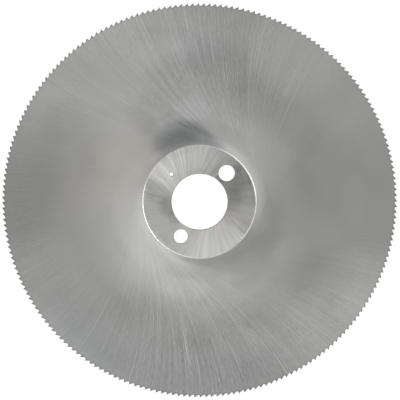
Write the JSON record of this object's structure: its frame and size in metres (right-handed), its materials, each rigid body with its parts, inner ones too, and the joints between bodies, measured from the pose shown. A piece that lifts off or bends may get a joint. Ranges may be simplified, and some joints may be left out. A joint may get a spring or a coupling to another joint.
{
  "type": "slitting saw",
  "caption": "Flat circular metal slitting saw: fine teeth round the rim, sides ground thinner towards a full-thickness hub, arbor bore and drive pin holes.",
  "frame": {"origin": "on the bore's axis, in the plane of the back hub face that the blade lies on", "axes": "+Z along the bore's axis, out of the front face; seen from the front the large drive pin hole lies in the quarter between +X and +Y"},
  "size_m": [0.225, 0.225, 0.002],
  "materials": {
    "high_speed_steel": "fine ground"
  },
  "bodies": {
    "root": {"saw_blade": "high_speed_steel"}
  },
  "joints": []
}
